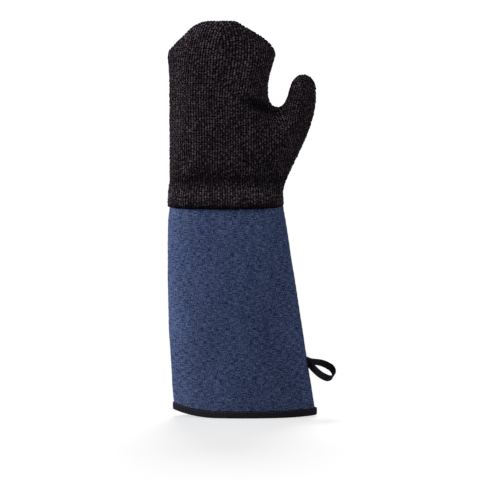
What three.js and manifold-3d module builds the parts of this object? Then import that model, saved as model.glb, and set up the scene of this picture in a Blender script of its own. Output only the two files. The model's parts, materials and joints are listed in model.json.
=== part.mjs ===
// A long oven mitt: a terry hand with batting and lining, sewn to a denim forearm cuff with a bound hem
// and a tape loop for hanging. Millimetres, +Z up. The mitt stands on its hem with the fingers up, the
// thumb towards +X and the palm towards -Y. X is measured from near the middle of the mitt, and the last
// step moves the origin exactly under the middle of its bounding box.
// A soft panel that has to bend is cut at its flex line, so one cloth can be two or three solids.
import * as THREE from "three";
import { mergeVertices } from "three/addons/utils/BufferGeometryUtils.js";
import Module from "manifold-3d";

const wasm = await Module();
wasm.setup();

// ---- Driving dimensions ----
const LENGTH = 600; // hem to fingertip
const WRIST_Z = 341; // flex line above the terry's sewn edge
const KNUCKLE_Z = 480; // flex line across the fingers
const TERRY_EDGE_Z = 316.5; // lower edge of the terry, which hangs over the denim
const CROTCH = new THREE.Vector2(40.5, 471); // deepest point between thumb and fingers
const THUMB_ROOT = new THREE.Vector2(76, 405); // where the thumb's flex line meets the outer edge
const THUMB_TIP_Z = 520;
const FORK_Z = 446; // the fingers and the thumb are separate stacks of sections above this
const FORK_LAP = 1; // which share this much width under the crotch
const TIP_MARGIN = 0.4; // sections stay this far from a height where the outline closes
const GAP = 0.4; // between pieces that touch
const TERRY = 4; // cloth thicknesses
const BATTING = 4.6;
const LINING = 1;
const DENIM = 1.2;
const CUFF_LINING = 0.7;
const BINDING = 0.9;
const BINDING_HEIGHT = 9;
const BINDING_ROOM = 5; // cutting solids reach this far past the binding
const CUT_ROOM = 3; // and other cutting solids this far past what they cut
const TOPSTITCH_DROP = 2.2; // from the binding's upper edge
const WRIST_STITCH_Z = 326;
const THREAD = 0.9; // a seam's thread, drawn as a square section

// Half the mitt's depth at heights along it, from the hem up.
const HALF_DEPTH = [[0, 33], [150, 31.5], [TERRY_EDGE_Z, 28], [400, 28], [KNUCKLE_Z, 26.5], [LENGTH, 24]];
const EDGE_ROUNDING = [[0, 60], [TERRY_EDGE_Z, 18], [LENGTH, 18]]; // how slowly the depth fills from an edge
const EDGE_POWER = [[0, 0.8], [TERRY_EDGE_Z, 0.5], [LENGTH, 0.5]]; // 0.5 is a round edge, 1 a sharp one

// The cuff's two side edges: x at heights from the hem up.
const CUFF_LEFT = [
  [0, -117], [40, -119.5], [90, -121.5], [130, -124.5], [250, -125.8], [312, -125.3], [WRIST_Z, -124],
];
const CUFF_RIGHT = [[0, 99], [289, 51.4], [312, 48.8], [WRIST_Z, 48.9]];
const TUCK = [[312, 0], [318, 2.4], [334, 3.6], [345, 3.8]]; // the cuff narrows inside the terry's edge
const CUFF_TOP_Z = 334;
const CUFF_HEIGHTS = [40, 130, 250, 312, 318]; // of the sections between the hem and the top
const HEM_RISE_LEFT = 10; // the hem curves up to its left corner, and a little to its right one
const HEM_RISE_RIGHT = 1.5;
const HEM_FLAT = [-52, 34]; // between these x the hem is level, and the mitt stands on it
const TERRY_ROLL = [[TERRY_EDGE_Z, 0.9], [319, 2.4], [325, 3.4], [332, 1.9], [WRIST_Z, 0]]; // its bulge
const HEM_BLEND = 60; // the height over which the hem's curve fades
const LOOP_Z = 85.5;
const LOOP_LENGTH = 39.5;
const LOOP_ROOT = 5; // the loop's solid starts this far out, so that it can swing clear of the cuff
const LOOP_SPREAD = 26; // between its two strands
const LOOP_DROOP = THREE.MathUtils.degToRad(28);
const LOOP_TILT = THREE.MathUtils.degToRad(37); // its back strand hangs higher than its front one
const LOOP_PULL = 0.35; // how far along its length the strands stay close, as a share
const TAPE_WIDTH = 10;
const TAPE_THICKNESS = 1.5;
const TACK = [1.6, 0.8, 9]; // the bar tack's width, thickness and height
const TACK_FROM_ROOT = 2.5;
const SEAM_GAP = 1.7; // between a front panel and a back one, with the thread in it
const SEAM_DEPTH = 1.2; // of the thread under the edge of the hand
const AROUND = 20; // points around a section
const FAR = 300; // past the mitt on every side

// ---- Materials ----
const cloth = (color, roughness = 0.95) => new THREE.MeshStandardMaterial({ color, roughness, metalness: 0 });
const TERRY_CLOTH = cloth(0x2a262a);
const WADDING = cloth(0xe4ded2);
const COTTON = cloth(0x8f8b86);
const DENIM_CLOTH = cloth(0x3d4c78, 0.9);
const BLACK_TAPE = cloth(0x24232b, 0.85);
const BLACK_THREAD = cloth(0x1b1a1f, 0.6);

// ---- Helpers ----
const root = new THREE.Group();

// The value at z on a line through [z, value] points.
function along(points, z) {
  const i = points.findIndex(([at]) => at >= z);
  if (i === 0) return points[0][1];
  if (i < 0) return points.at(-1)[1];
  const [[z0, v0], [z1, v1]] = [points[i - 1], points[i]];
  return THREE.MathUtils.mapLinear(z, z0, z1, v0, v1);
}

// A geometry as a manifold-3d solid.
function solid(geometry, matrix = new THREE.Matrix4()) {
  const bare = new THREE.BufferGeometry();
  bare.setAttribute("position", geometry.getAttribute("position").clone());
  if (geometry.index) bare.setIndex(geometry.index);
  const merged = mergeVertices(bare.applyMatrix4(matrix), 1e-4);
  return new wasm.Manifold(new wasm.Mesh({
    numProp: 3,
    vertProperties: new Float32Array(merged.attributes.position.array),
    triVerts: new Uint32Array(merged.index.array),
  }));
}

// A block between two corners.
function block(low, high) {
  const size = high.map((v, i) => v - low[i]);
  const middle = high.map((v, i) => (v + low[i]) / 2);
  return solid(new THREE.BoxGeometry(...size), new THREE.Matrix4().setPosition(...middle));
}

function add(name, made, material) {
  const { vertProperties, triVerts } = made.getMesh();
  const geometry = new THREE.BufferGeometry();
  geometry.setAttribute("position", new THREE.BufferAttribute(new Float32Array(vertProperties), 3));
  geometry.setIndex(new THREE.BufferAttribute(new Uint32Array(triVerts), 1));
  geometry.computeVertexNormals();
  const mesh = new THREE.Mesh(geometry, material);
  mesh.name = name;
  root.add(mesh);
}

// Adds each separate body of a solid as its own mesh, named in order from low x to high x.
function addEach(names, made, material) {
  const bodies = made.decompose().sort((a, b) => a.boundingBox().min[0] - b.boundingBox().min[0]);
  bodies.forEach((body, i) => add(names[i], body, material));
}

// A closed solid through sections listed from the bottom up. Each end is closed by strips that run straight
// from front to back, so it is flat wherever the section is level.
function loft(rings) {
  const faces = [];
  const last = (rings.length - 1) * AROUND;
  const quad = (a, b, c, d) => faces.push(a, b, c, a, c, d);
  for (let base = 0; base < last; base += AROUND) {
    for (let i = 0; i < AROUND; i++) {
      const next = base + ((i + 1) % AROUND);
      quad(base + i, next, next + AROUND, base + AROUND + i);
    }
  }
  for (let i = 0; i < AROUND / 2 - 1; i++) {
    const opposite = AROUND - 1 - i;
    quad(opposite, opposite - 1, i + 1, i);
    quad(last + i, last + i + 1, last + opposite - 1, last + opposite);
  }
  return solid(new THREE.BufferGeometry().setFromPoints(rings.flat()).setIndex(faces));
}

// A flat section of the mitt between two x values. depthAt gives the half depth at an x.
function section(left, right, depthAt, heightAt) {
  const reach = (right - left) / 2 / Math.cos(Math.PI / AROUND);
  return Array.from({ length: AROUND }, (_, i) => {
    const angle = (2 * Math.PI * (i + 0.5)) / AROUND;
    const x = (left + right) / 2 + reach * Math.cos(angle);
    return new THREE.Vector3(x, Math.sign(Math.sin(angle)) * depthAt(x), heightAt(x));
  });
}

// ---- The hand ----
// Its edge, from below the wrist on the left, round the fingertips and the thumb, and down again.
const edge = new THREE.Path();
edge.moveTo(-124, 200);
edge.lineTo(-124, 512);
edge.quadraticCurveTo(-124.3, 538, -127.5, 547);
edge.quadraticCurveTo(-128.6, 550.5, -125.5, 553.5);
edge.lineTo(-97, 583.5);
edge.quadraticCurveTo(-80.5, LENGTH, -58, LENGTH);
edge.lineTo(-32, LENGTH);
edge.quadraticCurveTo(-20, LENGTH, -10, 591.5);
edge.lineTo(19, 574);
edge.quadraticCurveTo(31, 566.5, 36, 554);
edge.quadraticCurveTo(38.6, 548.5, 36, 541);
edge.bezierCurveTo(32, 530, 27, 515, 26.5, 493);
edge.quadraticCurveTo(26.5, CROTCH.y, CROTCH.x, CROTCH.y);
edge.quadraticCurveTo(51.5, 471.5, 56, 489);
edge.quadraticCurveTo(58.5, 503, 64.5, 512.5);
edge.quadraticCurveTo(69.5, 520, 79, 520);
edge.quadraticCurveTo(93.5, 518.5, 98.5, 501);
edge.bezierCurveTo(101, 478, 95, 450, 83, 420.5);
edge.lineTo(62, 377);
edge.quadraticCurveTo(49.5, 351, 48.5, 335);
edge.lineTo(48.5, 200);

const edgePoints = edge.getPoints(8);
const edgeLines = edgePoints.slice(1).map((p, i) => new THREE.Line3(
  new THREE.Vector3(edgePoints[i].x, 0, edgePoints[i].y),
  new THREE.Vector3(p.x, 0, p.y),
));

// The distance from a point to the hand's edge.
function edgeDistance(x, z) {
  const from = new THREE.Vector3(x, 0, z);
  const nearest = new THREE.Vector3();
  return Math.min(...edgeLines.map((line) => line.closestPointToPoint(from, true, nearest).distanceTo(from)));
}

// Half the depth of a layer that lies an inset under the hand's outer face.
function handDepth(x, z, inset) {
  const filled = 1 - Math.exp(-Math.max(edgeDistance(x, z) - inset, 0.02) / along(EDGE_ROUNDING, z));
  return (along(HALF_DEPTH, z) - inset) * Math.sqrt(filled);
}

// From x, step by step towards the inside until the edge is an inset away.
function insetFrom(x, z, inwards, inset) {
  const step = 0.1;
  let at = x;
  while (edgeDistance(at, z) < inset) at += inwards * step;
  return at;
}

// Where the edge crosses a height, from left to right.
function crossings(z) {
  return edgeLines.filter(({ start, end }) => (start.z > z) !== (end.z > z))
    .map(({ start, end }) => THREE.MathUtils.mapLinear(z, start.z, end.z, start.x, end.x))
    .sort((a, b) => a - b);
}

// A stack of sections, where bounds gives the edge's x on the left and on the right at a height.
function lobe(heights, inset, bounds) {
  return loft(heights.map((z) => {
    const [left, right] = bounds(z);
    return section(
      insetFrom(left, z, 1, inset), insetFrom(right, z, -1, inset), (x) => handDepth(x, z, inset), () => z);
  }));
}

// The hand as a filled solid whose face lies an inset under its outer face: one stack of sections up to
// the thumb's root, and two side by side above it.
function hand(inset) {
  const crotch = CROTCH.y - inset - TIP_MARGIN;
  const around = [FORK_Z - 0.5, crotch, CROTCH.y + TIP_MARGIN, CROTCH.y + 5];
  const below = (heights, top) => heights.filter((z) => z < top - 1).concat(top);
  const palm = lobe([WRIST_Z - 8, 385, 415, FORK_Z], inset, (z) => [crossings(z)[0], crossings(z).at(-1)]);
  const fingers = lobe(
    below([...around, 500, 550, 572, 591], LENGTH - inset - TIP_MARGIN), inset,
    (z) => [crossings(z)[0], z > CROTCH.y ? crossings(z)[1] : CROTCH.x + FORK_LAP],
  );
  const thumb = lobe(
    below([...around, 496, 511], THUMB_TIP_Z - inset - TIP_MARGIN), inset,
    (z) => [z > CROTCH.y ? crossings(z)[2] : CROTCH.x - FORK_LAP, crossings(z).at(-1)],
  );
  return palm.add(fingers).add(thumb);
}

// A slab through the mitt over an outline of [x, z] points.
function slab(outline) {
  const shape = new THREE.Shape(outline.map(([x, z]) => new THREE.Vector2(x, z)));
  const geometry = new THREE.ExtrudeGeometry(shape, { depth: 2 * FAR, bevelEnabled: false });
  const upright = new THREE.Matrix4().makeRotationX(Math.PI / 2).setPosition(0, FAR, 0);
  return solid(geometry, upright);
}

// The half of the mitt in front of its middle, or behind it, with a gap between the two.
const half = (side, gap) => (side === "front"
  ? block([-FAR, -FAR, -FAR], [FAR, -gap / 2, FAR + LENGTH])
  : block([-FAR, gap / 2, -FAR], [FAR, FAR, FAR + LENGTH]));

// The flex line across the thumb's root, moved towards the thumb by an offset, at a way along it.
const rootLine = THUMB_ROOT.clone().sub(CROTCH).normalize();
function rootPoint(way, offset) {
  const square = new THREE.Vector2(-rootLine.y, rootLine.x);
  return CROTCH.clone().addScaledVector(rootLine, way).addScaledVector(square, offset).toArray();
}

function addHand() {
  const g = GAP / 2;
  const toWrist = (CROTCH.y - WRIST_Z - g) / -rootLine.y;
  const regions = {
    palm: slab([
      [-FAR, WRIST_Z + g], rootPoint(toWrist, -g), rootPoint(0, -g),
      [CROTCH.x - g, KNUCKLE_Z - g], [-FAR, KNUCKLE_Z - g],
    ]),
    fingers: slab([
      [-FAR, KNUCKLE_Z + g], [CROTCH.x - g, KNUCKLE_Z + g], [CROTCH.x - g, FAR * 3], [-FAR, FAR * 3],
    ]),
    thumb: slab([
      rootPoint(toWrist, g), [FAR, WRIST_Z], [FAR, FAR * 3], [CROTCH.x + g, FAR * 3], rootPoint(0, g),
    ]),
  };
  const layers = [
    ["terry", 0, TERRY, TERRY_CLOTH, SEAM_GAP],
    ["batting", TERRY + GAP, TERRY + GAP + BATTING, WADDING, GAP],
    ["lining", TERRY + BATTING + 2 * GAP, TERRY + BATTING + 2 * GAP + LINING, COTTON, GAP],
  ];
  for (const [layer, outer, inner, material, gap] of layers) {
    const shell = hand(outer).subtract(hand(inner));
    for (const [region, space] of Object.entries(regions)) {
      const piece = shell.intersect(space);
      for (const side of ["front", "back"]) {
        add(`${region}_${layer}_${side}`, piece.intersect(half(side, gap)), material);
      }
    }
  }
  const thread = block([-FAR, -THREAD / 2, -FAR], [FAR, THREAD / 2, FAR + LENGTH]);
  const seam = hand(SEAM_DEPTH).subtract(hand(SEAM_DEPTH + THREAD)).intersect(thread);
  const palmSeams = ["palm_seam_left", "palm_seam_crotch", "palm_seam_right"];
  addEach(palmSeams, seam.intersect(regions.palm), BLACK_THREAD);
  add("fingers_seam", seam.intersect(regions.fingers), BLACK_THREAD);
  add("thumb_seam", seam.intersect(regions.thumb), BLACK_THREAD);
}

// ---- The cuff ----
// How far the hem lies above the floor at an x.
function hemRise(x) {
  const left = Math.max(HEM_FLAT[0] - x, 0) / (HEM_FLAT[0] - CUFF_LEFT[0][1]);
  const right = Math.max(x - HEM_FLAT[1], 0) / (CUFF_RIGHT[0][1] - HEM_FLAT[1]);
  return HEM_RISE_LEFT * left ** 2 + HEM_RISE_RIGHT * right ** 2;
}

// A section of the cuff at a height, with its face moved in by an inset.
function cuffSection(z, inset) {
  const sides = [along(CUFF_LEFT, z), along(CUFF_RIGHT, z)];
  const [left, right] = [sides[0] + inset, sides[1] - inset];
  const rounding = along(EDGE_ROUNDING, z);
  const fill = (distance) => 1 - Math.exp(-Math.max(distance, 0.02) / rounding);
  const depthAt = (x) =>
    (along(HALF_DEPTH, z) - inset) * (fill(x - left) * fill(right - x)) ** along(EDGE_POWER, z);
  const curve = (x) => hemRise(THREE.MathUtils.mapLinear(x, left, right, ...sides));
  return section(left, right, depthAt, (x) => z + curve(x) * Math.max(1 - z / HEM_BLEND, 0));
}

// A filled stretch of the cuff. insetAt gives the inset at a height.
const cuffBody = (heights, insetAt) => loft(heights.map((z) => cuffSection(z, insetAt(z))));

function cuffLayer(outer, inner) {
  const bottom = BINDING + GAP;
  const heights = [bottom, BINDING_HEIGHT + BINDING_ROOM, ...CUFF_HEIGHTS, CUFF_TOP_Z];
  const room = [bottom - CUT_ROOM, ...heights.slice(1, -1), CUFF_TOP_Z + CUT_ROOM];
  const filled = cuffBody(heights, (z) => along(TUCK, z) + outer);
  return filled.subtract(cuffBody(room, (z) => along(TUCK, z) + inner));
}

function addCuff() {
  const denim = cuffLayer(0, DENIM);
  const lining = cuffLayer(DENIM + GAP, DENIM + GAP + CUFF_LINING);
  for (const side of ["front", "back"]) {
    add(`denim_${side}_panel`, denim.intersect(half(side, SEAM_GAP)), DENIM_CLOTH);
    add(`cuff_lining_${side}`, lining.intersect(half(side, GAP)), COTTON);
  }
  const thread = block([-FAR, -THREAD / 2, -FAR], [FAR, THREAD / 2, FAR + LENGTH]);
  addEach(["side_seam_left", "side_seam_right"], denim.intersect(thread), BLACK_THREAD);
}

// The binding folds round the hem: an outer leaf, a floor and an inner leaf.
function addBinding() {
  const heights = [0, BINDING_HEIGHT];
  const inside = DENIM + CUFF_LINING + 2 * GAP;
  const ring = (inset, low, high) => cuffBody([low, high], () => inset);
  const top = BINDING_HEIGHT + BINDING_ROOM;
  const tube = ring(-BINDING - GAP, ...heights).subtract(ring(inside + BINDING, -BINDING_ROOM, top));
  const slot = ring(-GAP, BINDING, top).subtract(ring(inside, BINDING - CUT_ROOM, top + CUT_ROOM));
  add("hem_binding", tube.subtract(slot), BLACK_TAPE);
  const stitch = -BINDING - 2 * GAP;
  const z = BINDING_HEIGHT - TOPSTITCH_DROP;
  const thread = ring(stitch - THREAD, z, z + THREAD);
  add("hem_topstitch", thread.subtract(ring(stitch, z - CUT_ROOM, z + CUT_ROOM)), BLACK_THREAD);
}

// The terry's lower edge rolls over the top of the denim and is stitched to it underneath.
function addTerryEdge() {
  const heights = [...TERRY_ROLL.map(([z]) => z).slice(0, -1), WRIST_Z - GAP / 2];
  const clearance = 2 * GAP + THREAD;
  const room = [TERRY_EDGE_Z - CUT_ROOM, ...heights, WRIST_Z + CUT_ROOM];
  const roll = cuffBody(heights, (z) => -along(TERRY_ROLL, z))
    .subtract(cuffBody(room, (z) => along(TUCK, z) - clearance));
  for (const side of ["front", "back"]) {
    add(`terry_edge_${side}`, roll.intersect(half(side, GAP)), TERRY_CLOTH);
  }
  const z = WRIST_STITCH_Z;
  const ring = (inset, low, high) => cuffBody([low, high], (at) => along(TUCK, at) + inset);
  const thread = ring(-GAP - THREAD, z, z + THREAD);
  add("wrist_stitch", thread.subtract(ring(-GAP, z - CUT_ROOM, z + CUT_ROOM)), BLACK_THREAD);
}

// ---- The hanging loop ----
// One tape folded double: its outline is a teardrop from the side seam, seen along the tape's width.
function addLoop() {
  const [length, spread, thickness, width] = [LOOP_LENGTH, LOOP_SPREAD / 2, TAPE_THICKNESS, TAPE_WIDTH];
  const pull = length * LOOP_PULL;
  const teardrop = (grow, path) => {
    const neck = thickness / 2 + grow;
    path.moveTo(0, -neck);
    path.bezierCurveTo(pull, -neck, pull, -spread - grow, length - spread, -spread - grow);
    path.absarc(length - spread, 0, spread + grow, -Math.PI / 2, Math.PI / 2, false);
    path.bezierCurveTo(pull, spread + grow, pull, neck, 0, neck);
    return path;
  };
  const shape = teardrop(thickness / 2, new THREE.Shape());
  const hole = teardrop(-thickness / 2, new THREE.Path());
  const holed = new THREE.Shape(shape.getPoints(9));
  holed.holes.push(new THREE.Path(hole.getPoints(9).filter((p) => p.x > thickness).reverse()));
  const geometry = new THREE.ExtrudeGeometry(holed, { depth: width, bevelEnabled: false });
  geometry.translate(0, 0, -width / 2);
  const across = new THREE.Vector3(0, Math.cos(LOOP_TILT), 0);
  const down = new THREE.Vector3(Math.cos(LOOP_DROOP), 0, -Math.sin(LOOP_DROOP));
  const up = new THREE.Vector3(Math.sin(LOOP_DROOP), 0, Math.cos(LOOP_DROOP));
  across.addScaledVector(up, Math.sin(LOOP_TILT));
  const wide = new THREE.Vector3().crossVectors(down, across);
  const seamX = along(CUFF_RIGHT, LOOP_Z);
  const place = new THREE.Matrix4().makeBasis(down, across, wide).setPosition(seamX + LOOP_ROOT, 0, LOOP_Z);
  add("hanging_loop", solid(geometry, place), BLACK_TAPE);
  const tack = new THREE.BoxGeometry(...TACK);
  tack.translate(TACK_FROM_ROOT, -thickness - GAP - TACK[1] / 2, 0);
  add("loop_bar_tack", solid(tack, place), BLACK_THREAD);
}

addHand();
addCuff();
addBinding();
addTerryEdge();
addLoop();

const box = new THREE.Box3().setFromObject(root);
root.position.x = -(box.min.x + box.max.x) / 2;

export default root;
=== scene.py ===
"""A long oven mitt: a black terry hand, a denim forearm cuff with a bound hem, and a tape loop. Metres, in
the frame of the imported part: the mitt stands on its hem, thumb towards +X, palm towards -Y."""

import json
import math

import bmesh
import bpy
import numpy as np
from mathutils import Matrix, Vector
from mathutils.kdtree import KDTree


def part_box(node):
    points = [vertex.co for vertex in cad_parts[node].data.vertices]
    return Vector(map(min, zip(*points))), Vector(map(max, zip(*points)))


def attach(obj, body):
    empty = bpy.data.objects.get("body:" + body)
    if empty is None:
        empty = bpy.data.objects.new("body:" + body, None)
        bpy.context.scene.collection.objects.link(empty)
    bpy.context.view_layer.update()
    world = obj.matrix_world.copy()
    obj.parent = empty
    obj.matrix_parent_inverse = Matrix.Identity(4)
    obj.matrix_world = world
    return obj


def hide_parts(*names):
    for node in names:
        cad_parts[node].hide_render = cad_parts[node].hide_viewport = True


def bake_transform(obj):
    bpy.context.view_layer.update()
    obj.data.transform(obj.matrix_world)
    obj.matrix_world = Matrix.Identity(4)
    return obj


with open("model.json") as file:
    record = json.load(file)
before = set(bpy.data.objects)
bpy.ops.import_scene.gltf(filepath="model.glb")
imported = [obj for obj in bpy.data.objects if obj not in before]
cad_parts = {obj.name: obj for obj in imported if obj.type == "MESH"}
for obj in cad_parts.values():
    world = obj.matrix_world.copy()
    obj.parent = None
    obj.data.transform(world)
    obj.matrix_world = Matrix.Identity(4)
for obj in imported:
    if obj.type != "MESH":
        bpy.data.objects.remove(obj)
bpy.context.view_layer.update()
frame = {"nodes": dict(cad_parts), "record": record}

MM = 0.001

# ---- Places that come from the frame ----
JOINTS = {j["name"]: j for j in frame["record"]["behaviour"]["joints"]}
WRIST_Z = JOINTS["wrist_flex"]["pos_m"][2]
CROTCH = np.array(JOINTS["thumb_fold"]["pos_m"]) * (1, 0, 1)
ROOT_LINE = np.array(JOINTS["thumb_fold"]["axis"])
THUMBWARD = np.array([-ROOT_LINE[2], 0, ROOT_LINE[0]])  # square to the root line, in the mitt's plane
SEAM_POINT = np.array(JOINTS["loop_swing"]["pos_m"])
SEAM_UP = np.array(JOINTS["loop_swing"]["axis"])
TERRY_EDGE_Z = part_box("terry_edge_front")[0].z
DENIM_TOP_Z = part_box("denim_front_panel")[1].z
FINGERS_FROM_Z = CROTCH[2] - 5 * MM  # the fingers' pieces start just under the crotch
REGIONS = ("palm", "fingers", "thumb")
SIDES = ("front", "back")

# Where each region of the hand bends: bodies, and the planes between which it turns.
BENDS = {
    "palm": ("cuff", "hand", (0, 0, WRIST_Z - 19 * MM), (0, 0, WRIST_Z + 59 * MM)),
    "fingers": ("hand", "fingers", (0, 0, FINGERS_FROM_Z), (0, 0, FINGERS_FROM_Z + 70 * MM)),
    "thumb": ("hand", "thumb", tuple(CROTCH), tuple(CROTCH + THUMBWARD * 50 * MM)),
}


# ---- Mesh helpers ----
def coordinates(mesh):
    co = np.empty(len(mesh.vertices) * 3)
    mesh.vertices.foreach_get("co", co)
    return co.reshape(-1, 3)


def normals(mesh):
    out = np.empty(len(mesh.vertices) * 3)
    mesh.vertex_normals.foreach_get("vector", out)
    return out.reshape(-1, 3)


def polygons(mesh):
    return [tuple(p.vertices) for p in mesh.polygons]


def build(name, verts, faces, material, smooth=True):
    """A mesh object from vertices and faces."""
    mesh = bpy.data.meshes.new(name)
    mesh.from_pydata(np.asarray(verts, float).tolist(), [], [list(map(int, f)) for f in faces])
    mesh.polygons.foreach_set("use_smooth", [smooth] * len(mesh.polygons))
    mesh.update()
    if material is not None:
        mesh.materials.append(material)
    obj = bpy.data.objects.new(name, mesh)
    bpy.context.scene.collection.objects.link(obj)
    return obj


def apply_modifiers(obj):
    """Writes the object's modifiers into its mesh."""
    evaluated = obj.evaluated_get(bpy.context.evaluated_depsgraph_get())
    mesh = bpy.data.meshes.new_from_object(evaluated)
    obj.modifiers.clear()
    old, obj.data = obj.data, mesh
    bpy.data.meshes.remove(old)


def set_attribute(mesh, name, values):
    """A point attribute that a material reads: a number, or a vector of three."""
    kind, key = ("FLOAT", "value") if np.ndim(values) == 1 else ("FLOAT_VECTOR", "vector")
    attribute = mesh.attributes.new(name, kind, "POINT")
    attribute.data.foreach_set(key, np.asarray(values, np.float32).ravel())


def smoothstep(x):
    x = np.clip(x, 0, 1)
    return x * x * (3 - 2 * x)


def hashed(i, j, seed):
    """Numbers from 0 to 1 for whole-number cells, the same on every run."""
    value = np.sin(i * 127.1 + j * 311.7 + seed * 74.7) * 43758.5453
    return value - np.floor(value)


def value_noise(x, y, seed):
    """Smooth noise from 0 to 1 over a plane whose unit is one cell."""
    i, j = np.floor(x), np.floor(y)
    fx, fy = smoothstep(x - i), smoothstep(y - j)
    low = hashed(i, j, seed) * (1 - fx) + hashed(i + 1, j, seed) * fx
    high = hashed(i, j + 1, seed) * (1 - fx) + hashed(i + 1, j + 1, seed) * fx
    return low * (1 - fy) + high * fy


# ---- Materials ----
class Shader:
    """A Principled material and short ways to add the nodes that drive it."""

    def __init__(self, name, roughness=0.9, sheen=0.0, sheen_roughness=0.5, sheen_tint=(1, 1, 1)):
        self.material = bpy.data.materials.new(name)
        self.material.use_nodes = True
        self.nodes = self.material.node_tree.nodes
        self.links = self.material.node_tree.links
        self.bsdf = self.nodes["Principled BSDF"]
        self.bsdf.inputs["Roughness"].default_value = roughness
        self.bsdf.inputs["Specular IOR Level"].default_value = 0.25
        self.bsdf.inputs["Sheen Weight"].default_value = sheen
        self.bsdf.inputs["Sheen Roughness"].default_value = sheen_roughness
        self.bsdf.inputs["Sheen Tint"].default_value = (*sheen_tint, 1)

    def connect(self, value, socket):
        if isinstance(value, bpy.types.NodeSocket):
            self.links.new(value, socket)
        else:
            socket.default_value = value

    def attribute(self, name, output="Vector"):
        node = self.nodes.new("ShaderNodeAttribute")
        node.attribute_name = name
        return node.outputs[output]

    def noise(self, vector, per_metre, detail=2.0, roughness=0.5):
        """Noise whose cells a metre are given along each of the vector's axes."""
        mapping = self.nodes.new("ShaderNodeMapping")
        mapping.inputs["Scale"].default_value = per_metre
        self.links.new(vector, mapping.inputs["Vector"])
        node = self.nodes.new("ShaderNodeTexNoise")
        node.inputs["Scale"].default_value = 1
        node.inputs["Detail"].default_value = detail
        node.inputs["Roughness"].default_value = roughness
        self.links.new(mapping.outputs["Vector"], node.inputs["Vector"])
        return node.outputs["Fac"]

    def stripes(self, vector, per_metre):
        """A sine from -1 to 1 along a direction, in turns a metre along each of the vector's axes."""
        node = self.nodes.new("ShaderNodeVectorMath")
        node.operation = "DOT_PRODUCT"
        self.links.new(vector, node.inputs[0])
        node.inputs[1].default_value = [2 * math.pi * f for f in per_metre]
        return self.math("SINE", node.outputs["Value"])

    def math(self, operation, *values):
        node = self.nodes.new("ShaderNodeMath")
        node.operation = operation
        for value, socket in zip(values, node.inputs):
            self.connect(value, socket)
        return node.outputs["Value"]

    def total(self, base, *terms):
        """base plus each weight times (value - 0.5)."""
        out = base
        for value, weight in terms:
            out = self.math("ADD", out, self.math("MULTIPLY", self.math("SUBTRACT", value, 0.5), weight))
        return out

    def ramp(self, value, *stops):
        node = self.nodes.new("ShaderNodeValToRGB")
        elements = node.color_ramp.elements
        while len(elements) < len(stops):
            elements.new(1.0)
        for element, (position, color) in zip(elements, stops):
            element.position = position
            element.color = (*color, 1)
        self.links.new(value, node.inputs["Fac"])
        return node.outputs["Color"]

    def color(self, value):
        self.connect(value, self.bsdf.inputs["Base Color"])

    def roughness(self, value):
        self.connect(value, self.bsdf.inputs["Roughness"])

    def bump(self, height, distance, strength=1.0):
        node = self.nodes.new("ShaderNodeBump")
        node.inputs["Strength"].default_value = strength
        node.inputs["Distance"].default_value = distance
        self.links.new(height, node.inputs["Height"])
        self.links.new(node.outputs["Normal"], self.bsdf.inputs["Normal"])


def terry_material():
    """Black looped cotton, with painted shade: the ground between the loops is coloured darker than their
    tips, as shade falls there.
    """
    m = Shader("terry", 1.0, sheen=0.05, sheen_roughness=0.5, sheen_tint=(0.95, 0.85, 0.95))
    m.bsdf.inputs["Specular IOR Level"].default_value = 0.08
    weave = m.attribute("weave")
    pile = m.attribute("pile", "Fac")
    loop = m.attribute("loop")
    fibre = m.noise(weave, (1500, 900, 1500), 3)
    patch = m.noise(weave, (60, 25, 60), 2)
    ply = m.stripes(loop, (620, 880, 0))
    tone = m.total(pile, (fibre, 0.5), (patch, 0.2), (ply, 0.08))
    # Painted shade: the colour follows the pile's height, near black in the hollows between the loops and
    # paler on their tips.
    m.color(m.ramp(
        tone, (0.1, (0.0006, 0.0004, 0.0006)), (0.42, (0.0052, 0.0036, 0.005)),
        (0.64, (0.045, 0.033, 0.043)), (1.0, (0.15, 0.118, 0.146))))
    m.roughness(m.total(0.95, (fibre, 0.1)))
    m.bump(m.total(0.5, (fibre, 0.8), (ply, 0.35)), 0.5 * MM, 0.9)
    return m.material


def denim_material():
    """Slubby blue denim: streaky warp, pale weft slubs across it and a fine twill rib."""
    m = Shader("denim", 0.9, sheen=0.05, sheen_roughness=0.5, sheen_tint=(0.8, 0.86, 1.0))
    m.bsdf.inputs["Specular IOR Level"].default_value = 0.12
    weave = m.attribute("weave")
    warp = m.noise(weave, (1250, 150, 1), 1, 0.6)
    weft = m.noise(weave, (120, 1050, 1), 1, 0.6)
    slub = m.noise(weave, (520, 520, 1), 3, 0.8)
    fleck = m.noise(weave, (1500, 1200, 1), 1, 0.5)
    cloud = m.noise(weave, (26, 12, 1), 3, 0.5)
    twill = m.stripes(weave, (560, 900, 0))
    tone = m.total(0.5, (warp, 3.6), (weft, 4.6), (slub, 2.0), (fleck, 7.6), (cloud, 0.75), (twill, 0.07))
    m.color(m.ramp(
        tone, (0.0, (0.0028, 0.0102, 0.0435)), (0.46, (0.0060, 0.0160, 0.0640)),
        (0.68, (0.0160, 0.0340, 0.110)), (1.0, (0.105, 0.138, 0.260))))
    m.roughness(m.total(0.86, (slub, 0.2)))
    height = m.total(0.5, (twill, 0.35), (warp, 0.5), (weft, 0.5))
    m.bump(height, 0.35 * MM, 0.7)
    return m.material


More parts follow.
